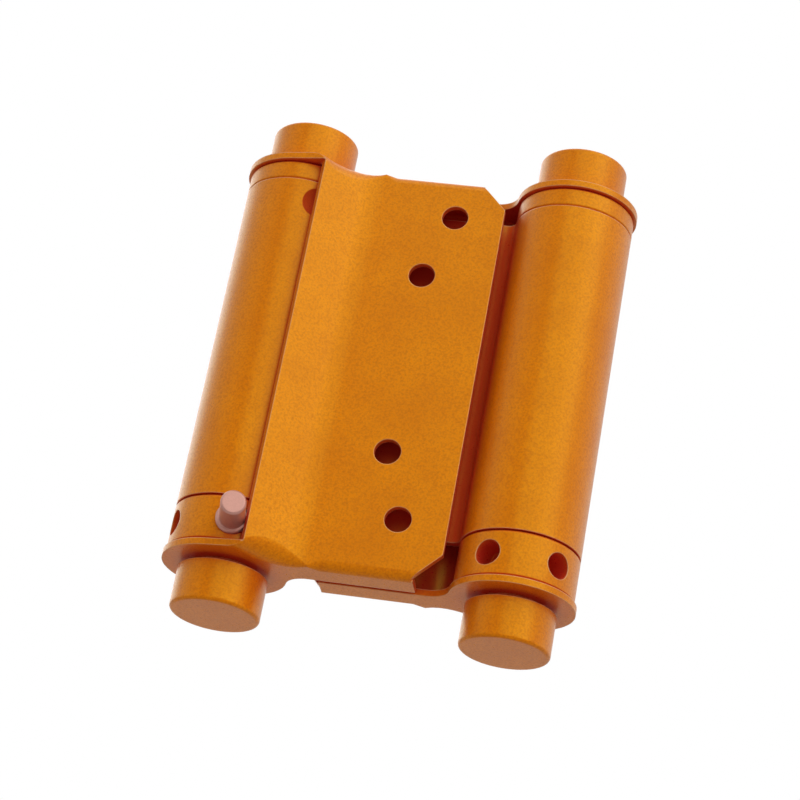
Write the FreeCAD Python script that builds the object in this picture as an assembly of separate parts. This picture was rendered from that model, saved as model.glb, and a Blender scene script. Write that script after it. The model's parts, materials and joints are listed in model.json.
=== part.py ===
"""Double action cafe hinge: two screw leaves on two spring barrels, shown closed.

Millimetres. X runs across the two barrels, Y from the front leaf to the back leaf, Z up along the barrels.
The origin is the middle of the hinge, midway between the barrels and between the ears.
Everything is drawn for the door side, the front leaf on the left barrel; the jamb side is the
same set of pieces turned half round about Z.
"""
import FreeCAD, Part
import math
import os
from FreeCAD import Vector

# Leaves: one folded sheet each
leaf_height = 75.8            # over the two ears
leaf_sheet = 1.2
leaf_depth = 6.3              # mid plane of the hinge to the outer face of the flat
free_edge_gap = 1.6           # free edge of the flat to the other barrel, seen from the front
slope_reach = 12.9            # barrel's axis to the bend between flat and slope, seen from the front
slope_overhang = 2.5          # slope past its nearest point to the barrel
slope_clearance = 1.1         # slope to barrel
crease_radius = 7.0           # front of the bend between flat and slope
fold_inside = 1.4             # inside the folds of the flanges
fold_flat = 1.8               # outside the folds, along the flat
fold_crease = 0.4             # at the dart where the folds of flat and slope meet
fold_slope = 3.4              # at the fullest place on the slope
fold_fullest = 0.6            # that place, as a share of the way from the dart to the slope's edge
dart_width = 2.0              # of the dart's side on the flat
ear_overhang = 0.5            # ear past the barrel
neck_radius = 4.5             # between flange and ear
flange_gap = 1.0              # between the flanges of the two leaves
flange_setback = 4.4          # flange end from the free edge
corner_cut = 5.0              # corners of the free edge

# Screw holes of a leaf: an outer pair and an inner pair in two columns
screw_hole = 4.6
outer_inset = 8.9             # outer holes from the ends of the leaf
inner_inset = 20.9
outer_column = 4.2            # from the middle of the hinge towards the free edge
inner_column = 0.3
pattern_rise = 1.4            # whole pattern above the middle of the leaf

# Centre piece: one sheet with both ends rolled into barrels
barrel_spacing = 49.0
barrel_diameter = 20.4
barrel_sheet = 1.5
web_fillet = 1.8              # hollow where the web runs into the barrel
seam_angle = 5.0              # degrees left open between the rolled end and the web
stake_angle = 25.0            # degrees from the front towards the leaf
stake_drop = 4.0              # centre of the stake mark below the end of the barrel
stake_diameter = 5.4          # dished mark on the outside
stake_depth = 1.2
stake_key = 3.4               # bulge on the inside that keys the plug
stake_key_height = 1.0

# Turned pieces in each barrel
spindle_diameter = 6.0
plug_rim = 3.6                # rim of the top plug between barrel and ear
plug_body = 8.0               # plug inside the barrel
collar_height = 8.1           # tension collar between ear and barrel
collar_spigot = 5.0           # collar inside the barrel
collar_holes = 5
collar_hole = 4.5
collar_hole_depth = 5.0
edge_chamfer = 0.4            # edges of plug rim and collar
cap_diameter = 15.4
cap_height = 7.3
cap_neck = 11.0               # narrower foot of a cap on the ear
cap_neck_height = 1.1
cap_bore = 6.5                # depth of the spindle's seat in a cap
cap_round = 0.6

# Tension pin
pin_diameter = 4.3
pin_reach = 7.4               # past the collar
pin_shoulder = 5.6
pin_chamfer = 0.3

# Torsion spring
wire_diameter = 2.4
coil_gap = 0.2
tang_length = 3.0             # straight end inside plug or collar
runs_per_coil = 12
wire_sides = 6

# Fits and gaps
running_fit = 0.05            # on the radius, pieces that turn on the spindle
press_fit = 0.02              # on the radius, pieces fixed to the spindle or barrel
ear_gap = 0.1                 # ear to plug rim and to collar
collar_gap = 0.2              # collar to the end of the barrel
spigot_gap = 0.4              # on the radius, collar spigot in the barrel
pin_gap = 0.05                # pin to the leaf's edge that it rests on
pin_end_gap = 0.2             # pin to the bottom of its hole
shoulder_gap = 0.15           # pin shoulder under the slope
key_gap = 0.15                # stake key in the plug
tang_gap = 0.15               # on the radius, spring tang in its hole
spring_gap = 0.3              # spring to plug and to collar
spring_room = 1.0             # coils to the barrel
margin = 5.0                  # how far a cutting shape runs past what it cuts
fold_room = 1.0               # the same for the folds
fold_step = 0.02              # curve of a fold past the faces that it joins, for a clean cut
fold_steps = 4                # sections of a fold round the bend, and along the slope
same_place = 1e-4             # points closer than this are the same point

# Levels and radii that follow
half_height = leaf_height / 2
ear_inside = half_height - leaf_sheet
rim_top = ear_inside - ear_gap
barrel_top = rim_top - plug_rim
plug_bottom = barrel_top - plug_body
collar_bottom = -ear_inside + ear_gap
collar_top = collar_bottom + collar_height
collar_middle = (collar_bottom + collar_top) / 2
spigot_top = collar_top + collar_spigot
barrel_bottom = collar_top + collar_gap
barrel_radius = barrel_diameter / 2
barrel_inside = barrel_radius - barrel_sheet
ear_radius = barrel_radius + ear_overhang
spindle_radius = spindle_diameter / 2
coil_radius = barrel_inside - spring_room - wire_diameter / 2
tang_hole_radius = wire_diameter / 2 + tang_gap
free_edge = barrel_spacing / 2 - barrel_radius - free_edge_gap
slope_tangent = barrel_radius + slope_clearance
up = Vector(0, 0, 1)
front = Vector(0, -1, 0)
pivot = Vector(-barrel_spacing / 2, 0, 0)
slope_bend = pivot + Vector(slope_reach, -leaf_depth, 0)


def polar(centre, radius, angle):
    """Point in the plane of centre, at an angle in degrees from +X."""
    turn = math.radians(angle)
    return centre + Vector(radius * math.cos(turn), radius * math.sin(turn), 0)


def bearing(point):
    """Angle in degrees from +X, seen from the origin."""
    return math.degrees(math.atan2(point.y, point.x))


def line(start, end):
    return Part.LineSegment(start, end).toShape()


def arc(centre, radius, first, last):
    """Arc from one angle to the other, in the direction of the change."""
    middle = polar(centre, radius, (first + last) / 2)
    return Part.Arc(polar(centre, radius, first), middle, polar(centre, radius, last)).toShape()


def prism(edges, bottom, top):
    """Solid of a closed outline between two levels."""
    face = Part.Face(Part.Wire(edges))
    face.translate(up * bottom)
    return face.extrude(up * (top - bottom))


def polygon_edges(points):
    return [line(start, end) for start, end in zip(points, points[1:] + points[:1])]


def rod(centre, radius, bottom, top):
    """Upright cylinder between two levels."""
    return Part.makeCylinder(radius, top - bottom, Vector(centre.x, centre.y, bottom))


def radial_rod(radius, inner, outer, direction, level):
    """Cylinder that points straight out from the pivot."""
    start = pivot + direction * inner + up * level
    return Part.makeCylinder(radius, outer - inner, start, direction)


def round_edges(solid, outline, levels, radius):
    """Fillet the edges of a prism that lie over some edges of its outline."""
    middles = [edge.valueAt((edge.FirstParameter + edge.LastParameter) / 2) for edge in outline]
    spots = [middle + up * (level - middle.z) for middle in middles for level in levels]
    chosen = []
    for edge in solid.Edges:
        middle = edge.valueAt((edge.FirstParameter + edge.LastParameter) / 2)
        if any(middle.isEqual(spot, same_place) for spot in spots):
            chosen.append(edge)
    return solid.makeFillet(radius, chosen)


def chamfer_rims(solid, radius, levels, size):
    """Chamfer the round edges of one radius at some levels."""
    chosen = []
    for edge in solid.Edges:
        if edge.Curve.TypeId != "Part::GeomCircle" or abs(edge.Curve.Radius - radius) > same_place:
            continue
        if any(abs(edge.Curve.Center.z - level) < same_place for level in levels):
            chosen.append(edge)
    return solid.makeChamfer(size, chosen)


def slope_normal():
    """Outward normal of the slope, which is tangent to a circle that clears the barrel."""
    reach = slope_bend - pivot
    turn = math.degrees(math.acos((slope_tangent + leaf_sheet) / reach.Length))
    return polar(Vector(), 1, bearing(reach) - turn)


def slope_edge():
    """Outer and inner corner of the slope's free edge."""
    normal = slope_normal()
    foot = pivot + normal * (slope_tangent + leaf_sheet)
    along = (foot - slope_bend).normalize()
    outer = foot + along * slope_overhang
    return outer, outer - normal * leaf_sheet


def creased_face(start, corner, end, radius):
    """Line, arc and line that turn round a corner of a face."""
    inward = (start - corner).normalize()
    outward = (end - corner).normalize()
    half_turn = inward.getAngle(outward) / 2
    setback = radius / math.tan(half_turn)
    centre = corner + (inward + outward).normalize() * (radius / math.sin(half_turn))
    first = corner + inward * setback
    last = corner + outward * setback
    middle = centre + (corner - centre).normalize() * radius
    return [line(start, first), Part.Arc(first, middle, last).toShape(), line(last, end)]


def front_face():
    """Outline of the flat, the bend and the slope, from the free edge to the slope's edge."""
    return creased_face(Vector(free_edge, -leaf_depth, 0), slope_bend, slope_edge()[0], crease_radius)


def leaf_block():
    """Full height block with the leaf's outer faces, its flange outline and its ears."""
    edge_outer = slope_edge()[0]
    flat_corner = Vector(free_edge, -leaf_depth, 0)
    flange_edge = -flange_gap / 2

    to_edge = edge_outer - pivot
    ear_start = bearing(to_edge) - math.degrees(math.acos(ear_radius / to_edge.Length))
    neck_rise = flange_edge + neck_radius
    neck_run = math.sqrt((ear_radius + neck_radius) ** 2 - neck_rise ** 2)
    neck_centre = pivot + Vector(neck_run, neck_rise, 0)
    neck_angle = bearing(neck_centre - pivot)
    neck_end = polar(neck_centre, neck_radius, -90)
    flange_corner = Vector(free_edge, flange_edge, 0)

    outline = front_face() + [
        line(edge_outer, polar(pivot, ear_radius, ear_start)),
        arc(pivot, ear_radius, ear_start, neck_angle - 360),
        arc(neck_centre, neck_radius, neck_angle - 180, -90),
        line(neck_end, flange_corner),
        line(flange_corner, flat_corner),
    ]
    return prism(outline, -half_height, half_height)


def fold_section(place, normal, radius):
    """Section of what a fold takes off the block's upper edge, across the outline."""
    def spot(outward, rise):
        return place + normal * outward + up * (half_height + rise)

    start = fold_step - radius
    middle = fold_step - radius * (1 - math.sqrt(0.5))
    points = [spot(fold_step, start), spot(fold_room, start), spot(fold_room, fold_room),
              spot(start, fold_room), spot(start, fold_step)]
    sides = [line(first, last) for first, last in zip(points, points[1:])]
    curve = Part.Arc(points[-1], spot(middle, middle), points[0]).toShape()
    return Part.Wire(sides + [curve])


def fold_radius(share):
    """Outside radius of a fold, from the dart (share 0) to the slope's free edge (share 1)."""
    return fold_slope - (fold_slope - fold_crease) * (1 - share / fold_fullest) ** 2


def fold_cuts():
    """What the folds of both flanges take off the block: tight at the dart, fuller beside it."""
    flat, bend, slope = front_face()
    flat_start = flat.valueAt(flat.FirstParameter)
    flat_end = flat.valueAt(flat.LastParameter)
    slope_start = slope.valueAt(slope.FirstParameter)
    slope_end = slope.valueAt(slope.LastParameter)
    reach = bend.Length + slope.Length
    sections = [
        fold_section(flat_start + Vector(margin, 0, 0), front, fold_flat),
        fold_section(flat_end + Vector(dart_width, 0, 0), front, fold_flat),
    ]
    for step in range(fold_steps):
        share = step / fold_steps
        place = bend.valueAt(bend.FirstParameter + share * (bend.LastParameter - bend.FirstParameter))
        normal = (bend.Curve.Center - place).normalize()
        sections.append(fold_section(place, normal, fold_radius(share * bend.Length / reach)))
    for step in range(fold_steps + 1):
        share = step / fold_steps
        place = slope_start + (slope_end - slope_start) * share
        radius = fold_radius((bend.Length + share * slope.Length) / reach)
        sections.append(fold_section(place, slope_normal(), radius))
    past_edge = slope_end + (slope_end - slope_start).normalize() * margin
    sections.append(fold_section(past_edge, slope_normal(), fold_radius(1)))
    upper = Part.makeLoft(sections, True, True)
    return [upper, upper.mirror(Vector(), up)]


def leaf_hollow():
    """Space behind the flat and slope and between the two flanges."""
    normal = slope_normal()
    edge_outer, edge_inner = slope_edge()
    corner = slope_bend - (front + normal) * (leaf_sheet / (1 + front.dot(normal)))
    start = Vector(free_edge + margin, -leaf_depth + leaf_sheet, 0)
    past_edge = edge_outer + normal * margin
    left = pivot.x - ear_radius - margin
    back = ear_radius + margin
    face = creased_face(start, corner, edge_inner, crease_radius + leaf_sheet)
    rest = [edge_inner, past_edge, Vector(left, past_edge.y, 0), Vector(left, back, 0),
            Vector(start.x, back, 0), start]
    outline = face + [line(first, last) for first, last in zip(rest, rest[1:])]
    hollow = prism(outline, -ear_inside, ear_inside)
    return round_edges(hollow, face, (-ear_inside, ear_inside), fold_inside)


def corner_cuts():
    """Sloping cuts at the corners of the free edge, and square ends of the flanges."""
    wedge = [
        Vector(free_edge - corner_cut - margin, -leaf_depth - margin, half_height + margin),
        Vector(free_edge + margin, -leaf_depth - margin, half_height - corner_cut - margin),
        Vector(free_edge + margin, -leaf_depth - margin, half_height + margin),
    ]
    wedge_face = Part.Face(Part.Wire(polygon_edges(wedge)))
    upper_wedge = wedge_face.extrude(Vector(0, leaf_sheet + margin, 0))
    end_corner = Vector(free_edge - flange_setback, -leaf_depth + leaf_sheet, ear_inside - fold_inside)
    end_height = half_height + margin - end_corner.z
    upper_end = Part.makeBox(flange_setback + margin, leaf_depth, end_height, end_corner)
    cuts = []
    for upper in (upper_wedge, upper_end):
        cuts += [upper, upper.mirror(Vector(), up)]
    return cuts


def screw_holes():
    """The four screw holes of a leaf."""
    holes = []
    for column, inset in ((outer_column, outer_inset), (inner_column, inner_inset)):
        for level in (half_height - inset, inset - half_height):
            start = Vector(column, -leaf_depth - margin, level + pattern_rise)
            holes.append(Part.makeCylinder(screw_hole / 2, leaf_sheet + 2 * margin, start, -front))
    return holes


def spindle_bore(clearance):
    """Spindle's hole right through the hinge, with a clearance on its radius."""
    return rod(pivot, spindle_radius + clearance, -half_height - margin, half_height + margin)


def make_leaf():
    cuts = fold_cuts() + [leaf_hollow(), spindle_bore(press_fit)] + corner_cuts() + screw_holes()
    return leaf_block().cut(cuts)


def rolled_end():
    """Outline of the right barrel, from the front face of the web round to its back face."""
    centre = -pivot
    middle_fillet = web_fillet + barrel_sheet / 2
    reach = barrel_radius + web_fillet
    fillet_centre = centre + Vector(-math.sqrt(reach ** 2 - middle_fillet ** 2), -middle_fillet, 0)
    join = bearing(fillet_centre - centre)
    seam = 180 - seam_angle
    outer_end = polar(centre, barrel_radius, seam)
    inner_end = polar(centre, barrel_inside, seam)
    return [
        arc(fillet_centre, web_fillet, 90, join + 180),
        arc(centre, barrel_radius, join, seam),
        line(outer_end, inner_end),
        arc(centre, barrel_inside, seam, join),
        arc(fillet_centre, web_fillet + barrel_sheet, join + 180, 90),
    ]


def half_turn(shape):
    """The same shape on the other barrel."""
    turned = shape.copy()
    turned.rotate(Vector(), up, 180)
    return turned


def stake_shapes():
    """Bulge inside the door side's barrel, and the dished mark outside it."""
    direction = polar(Vector(), 1, stake_angle - 90)
    level = barrel_top - stake_drop
    key = radial_rod(stake_key / 2, barrel_inside - stake_key_height, barrel_radius - barrel_sheet / 2,
                     direction, level)
    dish_radius = ((stake_diameter / 2) ** 2 + stake_depth ** 2) / (2 * stake_depth)
    centre = pivot + direction * (barrel_radius - stake_depth + dish_radius) + up * level
    return key, Part.makeSphere(dish_radius, centre)


def make_centre_sheet():
    right = rolled_end()
    left = [half_turn(edge) for edge in right]
    web_front = line(left[-1].lastVertex(True).Point, right[0].firstVertex(True).Point)
    web_back = half_turn(web_front)
    sheet = prism([web_front] + right + [web_back] + left, barrel_bottom, barrel_top)
    key, mark = stake_shapes()
    keyed = sheet.fuse([key, half_turn(key)])
    return keyed.cut([mark, half_turn(mark)])


def tang_hole(level):
    """Hole for a spring tang, from one level up or down by the tang's length."""
    centre = polar(pivot, coil_radius, 0)
    return rod(centre, tang_hole_radius, level - tang_length - spring_gap, level + tang_length + spring_gap)


def make_top_plug():
    rim = chamfer_rims(rod(pivot, barrel_radius, barrel_top, rim_top), barrel_radius,
                       (barrel_top, rim_top), edge_chamfer)
    body = rod(pivot, barrel_inside - press_fit, plug_bottom, barrel_top)
    direction = polar(Vector(), 1, stake_angle - 90)
    key_bottom = barrel_inside - stake_key_height - key_gap
    key_hole = radial_rod(stake_key / 2 + key_gap, key_bottom, barrel_radius, direction,
                          barrel_top - stake_drop)
    return rim.fuse(body).cut([key_hole, tang_hole(plug_bottom), spindle_bore(running_fit)])


def pin_direction():
    """Direction of the tension pin, resting on the free edge of the slope."""
    angles = []
    for corner in slope_edge():
        reach = corner - pivot
        lean = math.degrees(math.asin((pin_diameter / 2 + pin_gap) / reach.Length))
        angles.append(bearing(reach) - lean)
    return min(angles)


def make_tension_collar():
    rim = chamfer_rims(rod(pivot, barrel_radius, collar_bottom, collar_top), barrel_radius,
                       (collar_bottom, collar_top), edge_chamfer)
    spigot = rod(pivot, barrel_inside - spigot_gap, collar_top, spigot_top)
    cuts = [tang_hole(spigot_top), spindle_bore(running_fit)]
    for index in range(collar_holes):
        direction = polar(Vector(), 1, pin_direction() + index * 360 / collar_holes)
        cuts.append(radial_rod(collar_hole / 2, barrel_radius - collar_hole_depth,
                               barrel_radius + margin, direction, collar_middle))
    return rim.fuse(spigot).cut(cuts)


def make_tension_pin():
    """Turned pin, half its section revolved; the rim of its shoulder passes under the slope."""
    direction = polar(Vector(), 1, pin_direction())
    shank = pin_diameter / 2
    shoulder = pin_shoulder / 2
    inner = barrel_radius - collar_hole_depth + pin_end_gap
    seat = barrel_radius
    top = math.sqrt((slope_tangent - shoulder_gap) ** 2 - shoulder ** 2)
    outer = barrel_radius + pin_reach
    section = [(0, inner), (shank - pin_chamfer, inner), (shank, inner + pin_chamfer), (shank, seat),
               (shoulder, seat), (shoulder, top - pin_chamfer), (shoulder - pin_chamfer, top), (shank, top),
               (shank, outer - pin_chamfer), (shank - pin_chamfer, outer), (0, outer)]
    points = [Vector(radius, 0, reach) for radius, reach in section]
    pin = Part.Face(Part.Wire(polygon_edges(points))).revolve(Vector(), up, 360)
    pin.Placement = FreeCAD.Placement(pivot + up * collar_middle, FreeCAD.Rotation(up, direction))
    return pin


def make_cap(bottom):
    """End cap on the upper ear, or its mirror image on the lower ear."""
    foot = half_height + cap_neck_height
    top = foot + cap_height
    body = rod(pivot, cap_diameter / 2, foot, top)
    rim = [edge for edge in body.Edges if edge.Closed and edge.Curve.Center.z > foot + cap_height / 2]
    neck = rod(pivot, cap_neck / 2, half_height, foot)
    seat = rod(pivot, spindle_radius + press_fit, half_height - margin, half_height + cap_bore)
    cap = body.makeFillet(cap_round, rim).fuse(neck).cut(seat)
    return cap.mirror(Vector(), up) if bottom else cap


def make_spindle():
    end = half_height + cap_bore - press_fit
    return rod(pivot, spindle_radius, -end, end)


def spring_path():
    """Points along the wire: upper tang, coils from top to bottom, lower tang."""
    top = plug_bottom - spring_gap - wire_diameter / 2
    bottom = spigot_top + spring_gap + wire_diameter / 2
    coils = math.floor((top - bottom) / (wire_diameter + coil_gap))
    count = coils * runs_per_coil
    helix = []
    for index in range(count + 1):
        level = top + (bottom - top) * index / count
        helix.append(polar(pivot, coil_radius, 360 * index / runs_per_coil) + up * level)
    upper = helix[0] + up * (tang_length + wire_diameter / 2)
    lower = helix[-1] - up * (tang_length + wire_diameter / 2)
    return [upper] + helix + [lower]


def wire_solid(points, radius, sides):
    """Bent wire with a many-sided section and mitred bends along a run of points."""
    runs = [(end - start).normalize() for start, end in zip(points, points[1:])]
    across = runs[0].cross(runs[1]).normalize()
    upright = runs[0].cross(across)
    ring = []
    for index in range(sides):
        turn = 2 * math.pi * index / sides
        ring.append(points[0] + across * (radius * math.cos(turn)) + upright * (radius * math.sin(turn)))
    rings = [ring]
    for index, run in enumerate(runs):
        following = runs[min(index + 1, len(runs) - 1)]
        mitre = run + following
        corner = points[index + 1]
        ring = [point + run * ((corner - point).dot(mitre) / run.dot(mitre)) for point in ring]
        rings.append(ring)
    faces = [Part.Face(Part.Wire(polygon_edges(rings[0]))), Part.Face(Part.Wire(polygon_edges(rings[-1])))]
    for near, far in zip(rings, rings[1:]):
        for index in range(sides):
            after = (index + 1) % sides
            corners = [near[index], near[after], far[after], far[index]]
            faces.append(Part.Face(Part.Wire(polygon_edges(corners))))
    shell = Part.makeShell(faces)
    shell.sewShape()
    solid = Part.makeSolid(shell)
    if solid.Volume < 0:
        solid.reverse()
    return solid


def make_spring():
    return wire_solid(spring_path(), wire_diameter / 2, wire_sides)


def export(name, shape):
    shape.exportStep(f"parts/{name}.step")


os.makedirs("parts", exist_ok=True)
export("centre_barrel_sheet", make_centre_sheet())
door_side = {
    "leaf": make_leaf(),
    "spindle": make_spindle(),
    "top_plug": make_top_plug(),
    "tension_collar": make_tension_collar(),
    "tension_pin": make_tension_pin(),
    "spring": make_spring(),
    "top_cap": make_cap(bottom=False),
    "bottom_cap": make_cap(bottom=True),
}
for piece, shape in door_side.items():
    export(f"door_{piece}", shape)
    export(f"jamb_{piece}", half_turn(shape))
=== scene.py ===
"""Looks of the double action cafe hinge: copper-coloured lacquer on pressed steel, with plated steel pins.

Metres and degrees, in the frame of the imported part: X across the barrels, Y to the back, Z up.
"""
import bpy
import json
import math
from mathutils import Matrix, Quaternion, Vector

mm = 0.001

# Camera, below the hinge and a little to its right, looking up, with lens and sensor in millimetres
camera_target = Vector((-0.44, 0, -2.88)) * mm
camera_distance = 440.7 * mm
camera_azimuth = 10.48
camera_elevation = -24.73
camera_roll = 10.96
camera_lens = 115.05
camera_sensor = 36.0
camera_near = 10 * mm

# Floor, and the pale backdrop that it is mixed with where it is seen or mirrored
floor_level = -0.26
floor_size = 6.0
floor_colour = (0.56, 0.50, 0.50)
floor_mottle_size = 20 * mm
floor_mottle_shade = 0.97
floor_roughness = 0.8
backdrop_colour = (0.92, 0.88, 0.88)
backdrop_share = 0.5

# Light: two soft lights, and white surroundings that reflections show dimmer on the camera's side
surroundings_colour = (1, 1, 1)
surroundings_strength = 1.0
ambient_strength = 0.22
key_place = Vector((0.52, -0.98, 0.80))
key_size = 2.0
key_power = 17.2
fill_place = Vector((-0.80, 0.95, 0.85))
fill_size = 1.5
fill_power = 8.0
dim_side = Vector((0.02, -0.90, 0.42))
dim_outer_angle = 38.7
dim_inner_angle = 16.3
dim_strength = 0.1

# Lacquer: its colours, its golden gloss and its grain
lacquer_colour = (0.98, 0.285, 0.002)
lacquer_deep = (0.60, 0.09, 0.002)
# Darker, redder colour mixed in where recesses are shaded: painted shade
lacquer_painted_shade = (0.68, 0.04, 0.02)
# Pale pink on convex edges: wear, and a painted highlight where edges catch the light
lacquer_worn_and_highlit = (0.86, 0.45, 0.24)
gloss_tint = (0.80, 0.68, 0.06)
gloss_ior = 1.9
gloss_roughness = (0.38, 0.26)
grain_size = 0.4 * mm
grain_tones = (0.3, 1)
cloud_size = 9 * mm
cloud_tones = (0.7, 1)
flake_size = 0.16 * mm
flake_height = 0.02 * mm
flake_relief = 0.8

# Pale wear with a painted highlight along edges, and painted shade in recesses, each from where it starts to
# where it is full
wear_and_highlight_width = 0.35 * mm
wear_and_highlight_openness = (0.75, 0.45)
painted_shade_reach = 18 * mm
painted_shade_openness = (0.85, 0.25)

# Steel of the pins, the spindles and the springs, and the fine turning marks on it
pin_colour = (0.66, 0.34, 0.27)
pin_roughness = 0.4
pin_metallic = 0.6
spindle_colour = (0.55, 0.55, 0.56)
spindle_roughness = 0.3
spring_colour = (0.25, 0.25, 0.27)
spring_roughness = 0.4
steel_mark_size = 0.25 * mm
steel_mark_shade = 0.75
steel_mark_roughness = 0.06

# All materials: the soft rounding of edges, the span of most noise values, and samples for edges and recesses
edge_radius = 0.22 * mm
noise_span = (0.3, 0.7)
shading_samples = 8

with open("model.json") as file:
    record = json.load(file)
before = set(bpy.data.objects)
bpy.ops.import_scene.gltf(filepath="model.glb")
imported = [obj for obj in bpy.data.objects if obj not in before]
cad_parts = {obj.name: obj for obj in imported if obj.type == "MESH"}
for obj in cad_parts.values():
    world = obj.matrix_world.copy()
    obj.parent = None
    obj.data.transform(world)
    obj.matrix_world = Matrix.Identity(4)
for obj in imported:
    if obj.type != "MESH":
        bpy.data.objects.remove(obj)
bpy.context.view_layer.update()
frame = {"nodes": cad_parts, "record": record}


def new_material(name):
    """Empty material with its node tree and shader."""
    material = bpy.data.materials.new(name)
    material.use_nodes = True
    tree = material.node_tree
    return material, tree, tree.nodes["Principled BSDF"]


def add(tree, kind, **values):
    """Node of a kind with some of its properties set."""
    node = tree.nodes.new(kind)
    for name, value in values.items():
        setattr(node, name, value)
    return node


def feed(tree, socket, value):
    """Give a socket another socket's output, a colour or a number."""
    if isinstance(value, bpy.types.NodeSocket):
        tree.links.new(value, socket)
    elif isinstance(value, tuple):
        socket.default_value = (*value, 1)
    else:
        socket.default_value = value


def object_noise(tree, size, detail):
    """Noise in the object's own coordinates, with features of a real size."""
    place = add(tree, "ShaderNodeTexCoord")
    noise = add(tree, "ShaderNodeTexNoise")
    feed(tree, noise.inputs["Vector"], place.outputs["Object"])
    feed(tree, noise.inputs["Scale"], 1 / size)
    feed(tree, noise.inputs["Detail"], detail)
    return noise.outputs["Fac"]


def remap(tree, value, old_span, new_span):
    """A value in one span, mapped to another span."""
    node = add(tree, "ShaderNodeMapRange")
    feed(tree, node.inputs["Value"], value)
    for name, number in zip(("From Min", "From Max", "To Min", "To Max"), (*old_span, *new_span)):
        feed(tree, node.inputs[name], number)
    return node.outputs["Result"]


def mix(tree, kind, factor, first, second):
    """Mix of two colours or two values, each fixed or a socket."""
    node = add(tree, "ShaderNodeMix", data_type=kind)
    used = [socket for socket in node.inputs if socket.enabled]
    for socket, value in zip(used, (factor, first, second)):
        feed(tree, socket, value)
    return next(socket for socket in node.outputs if socket.enabled)


def openness(tree, reach, inside):
    """How far a point is open to its surroundings, or to the solid behind it."""
    node = add(tree, "ShaderNodeAmbientOcclusion", inside=inside, samples=shading_samples)
    feed(tree, node.inputs["Distance"], reach)
    return node.outputs["AO"]


def rounded_normal(tree):
    """Normal with softly rounded edges."""
    rounded = add(tree, "ShaderNodeBevel", samples=shading_samples)
    feed(tree, rounded.inputs["Radius"], edge_radius)
    return rounded.outputs["Normal"]


def flaked_normal(tree):
    """Rounded normal with the fine relief of the metal flakes."""
    bump = add(tree, "ShaderNodeBump")
    feed(tree, bump.inputs["Strength"], flake_relief)
    feed(tree, bump.inputs["Distance"], flake_height)
    feed(tree, bump.inputs["Height"], object_noise(tree, flake_size, detail=1))
    feed(tree, bump.inputs["Normal"], rounded_normal(tree))
    return bump.outputs["Normal"]


def lacquer_tone(tree, grain):
    """Mask of the light and dark of the lacquer: a fine grain with wide clouds in it."""
    tone = add(tree, "ShaderNodeMath", operation="MULTIPLY")
    cloud = object_noise(tree, cloud_size, detail=2)
    feed(tree, tone.inputs[0], remap(tree, grain, noise_span, grain_tones))
    feed(tree, tone.inputs[1], remap(tree, cloud, noise_span, cloud_tones))
    return tone.outputs["Value"]


def copper_lacquer():
    """Copper-red lacquer with a fine grain, darker and redder in recesses as painted shade, paler on edges
    from wear and a painted highlight, with a golden gloss.
    """
    material, tree, shader = new_material("copper_lacquer")
    grain = object_noise(tree, grain_size, detail=3)
    # Painted shade: darker, redder lacquer where the point is closed in by its surroundings
    painted_shade = remap(tree, openness(tree, painted_shade_reach, inside=False), painted_shade_openness, (0, 1))
    # Pale convex edges: wear, and a painted highlight along them
    worn_and_highlit = remap(tree, openness(tree, wear_and_highlight_width, inside=True), wear_and_highlight_openness, (0, 1))
    colour = mix(tree, "RGBA", lacquer_tone(tree, grain), lacquer_deep, lacquer_colour)
    colour = mix(tree, "RGBA", painted_shade, colour, lacquer_painted_shade)
    colour = mix(tree, "RGBA", worn_and_highlit, colour, lacquer_worn_and_highlit)
    feed(tree, shader.inputs["Base Color"], colour)
    feed(tree, shader.inputs["Roughness"], remap(tree, grain, noise_span, gloss_roughness))
    feed(tree, shader.inputs["Normal"], flaked_normal(tree))
    feed(tree, shader.inputs["IOR"], gloss_ior)
    feed(tree, shader.inputs["Specular Tint"], gloss_tint)
    return material


def turned_steel(name, colour, roughness, metallic=1.0):
    """Steel with fine turning marks, bare or thinly plated."""
    material, tree, shader = new_material(name)
    marks = object_noise(tree, steel_mark_size, detail=4)
    darker = tuple(part * steel_mark_shade for part in colour)
    spread = (roughness - steel_mark_roughness, roughness + steel_mark_roughness)
    feed(tree, shader.inputs["Base Color"], mix(tree, "RGBA", marks, darker, colour))
    feed(tree, shader.inputs["Roughness"], remap(tree, marks, noise_span, spread))
    feed(tree, shader.inputs["Metallic"], metallic)
    feed(tree, shader.inputs["Normal"], rounded_normal(tree))
    return material


def dress_nodes():
    """Give every solid the material of its slot in the record."""
    materials = {
        "copper_lacquer": copper_lacquer(),
        "pin_steel": turned_steel("pin_steel", pin_colour, pin_roughness, pin_metallic),
        "spindle_steel": turned_steel("spindle_steel", spindle_colour, spindle_roughness),
        "spring_steel": turned_steel("spring_steel", spring_colour, spring_roughness),
    }
    for subpart in frame["record"]["subparts"]:
        mesh = frame["nodes"][subpart["node"]].data
        mesh.materials.clear()
        mesh.materials.append(materials[subpart["material_slot"]])


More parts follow.
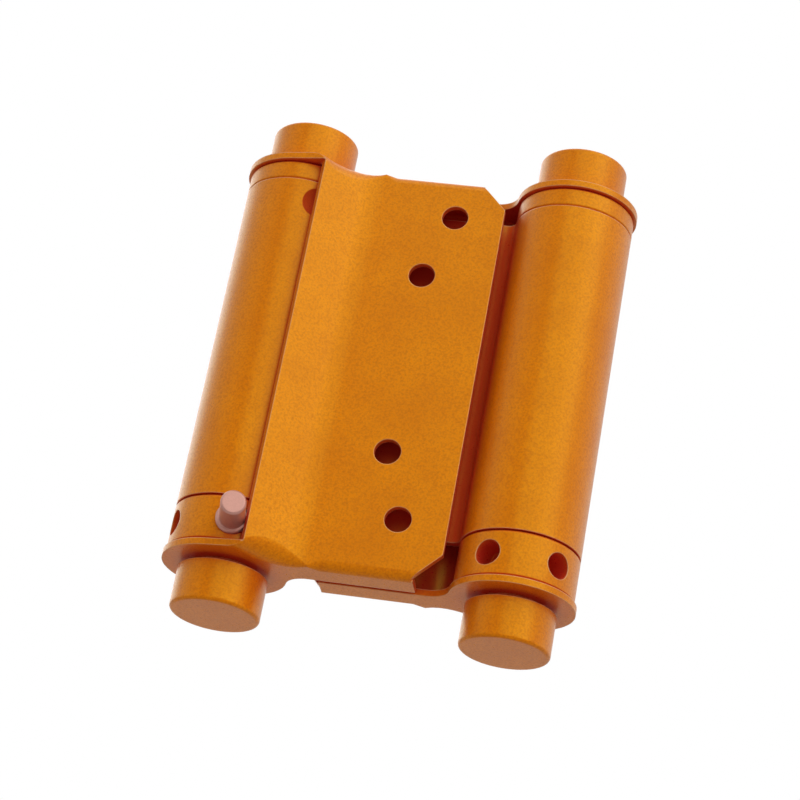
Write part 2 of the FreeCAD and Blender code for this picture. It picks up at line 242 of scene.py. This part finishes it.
def floor_material():
    """Pale floor that keeps the shadow, nearer to the backdrop where it is seen or mirrored."""
    material, tree, shader = new_material("pale_floor")
    darker = tuple(part * floor_mottle_shade for part in floor_colour)
    mottle = object_noise(tree, floor_mottle_size, detail=2)
    feed(tree, shader.inputs["Base Color"], mix(tree, "RGBA", mottle, darker, floor_colour))
    feed(tree, shader.inputs["Roughness"], floor_roughness)
    backdrop = add(tree, "ShaderNodeEmission")
    feed(tree, backdrop.inputs["Color"], backdrop_colour)
    path = add(tree, "ShaderNodeLightPath")
    share = 0.0
    for ray in ("Is Camera Ray", "Is Glossy Ray", "Is Transmission Ray"):
        share = mix(tree, "FLOAT", path.outputs[ray], share, backdrop_share)
    both = add(tree, "ShaderNodeMixShader")
    for socket, value in zip(both.inputs, (share, shader.outputs["BSDF"], backdrop.outputs["Emission"])):
        feed(tree, socket, value)
    feed(tree, tree.nodes["Material Output"].inputs["Surface"], both.outputs["Shader"])
    return material


def make_floor():
    """Wide level floor below the hinge."""
    bpy.ops.mesh.primitive_plane_add(size=floor_size, location=(0, 0, floor_level))
    floor = bpy.context.object
    floor.name = "floor"
    floor.data.materials.append(floor_material())


def make_world():
    """White surroundings for the camera and for reflections, softer as a light."""
    world = bpy.data.worlds.new("studio")
    world.use_nodes = True
    tree = world.node_tree
    place = add(tree, "ShaderNodeTexCoord")
    toward_dim = add(tree, "ShaderNodeVectorMath", operation="DOT_PRODUCT")
    toward_dim.inputs[1].default_value = dim_side.normalized()
    feed(tree, toward_dim.inputs[0], place.outputs["Generated"])
    dim_span = [math.cos(math.radians(angle)) for angle in (dim_outer_angle, dim_inner_angle)]
    mirrored = remap(tree, toward_dim.outputs["Value"], dim_span, (surroundings_strength, dim_strength))
    path = add(tree, "ShaderNodeLightPath")
    strength = mix(tree, "FLOAT", path.outputs["Is Glossy Ray"], ambient_strength, mirrored)
    for ray in ("Is Camera Ray", "Is Transmission Ray"):
        strength = mix(tree, "FLOAT", path.outputs[ray], strength, surroundings_strength)
    background = tree.nodes["Background"]
    feed(tree, background.inputs["Color"], surroundings_colour)
    feed(tree, background.inputs["Strength"], strength)
    bpy.context.scene.world = world


def make_soft_light(name, place, size, power):
    """Square soft light aimed at the hinge."""
    lamp = bpy.data.lights.new(name, "AREA")
    lamp.size = size
    lamp.energy = power
    light = bpy.data.objects.new(name, lamp)
    light.location = place
    light.rotation_mode = "QUATERNION"
    light.rotation_quaternion = (-place).to_track_quat("-Z", "Y")
    bpy.context.scene.collection.objects.link(light)


def make_camera():
    """Camera turned about the hinge to its azimuth and elevation, and rolled about its own view."""
    lens = bpy.data.cameras.new("photo_view")
    lens.lens = camera_lens
    lens.sensor_width = camera_sensor
    lens.clip_start = camera_near
    camera = bpy.data.objects.new("photo_view", lens)
    turn, lift = math.radians(camera_azimuth), math.radians(camera_elevation)
    back = Vector((math.sin(turn) * math.cos(lift), -math.cos(turn) * math.cos(lift), math.sin(lift)))
    camera.location = camera_target + back * camera_distance
    camera.rotation_mode = "QUATERNION"
    level_view = (-back).to_track_quat("-Z", "Y")
    camera.rotation_quaternion = level_view @ Quaternion((0, 0, 1), math.radians(camera_roll))
    bpy.context.scene.collection.objects.link(camera)
    bpy.context.scene.camera = camera


dress_nodes()
make_floor()
make_world()
make_soft_light("key", key_place, key_size, key_power)
make_soft_light("fill", fill_place, fill_size, fill_power)
make_camera()
bpy.context.scene.view_settings.view_transform = "Standard"
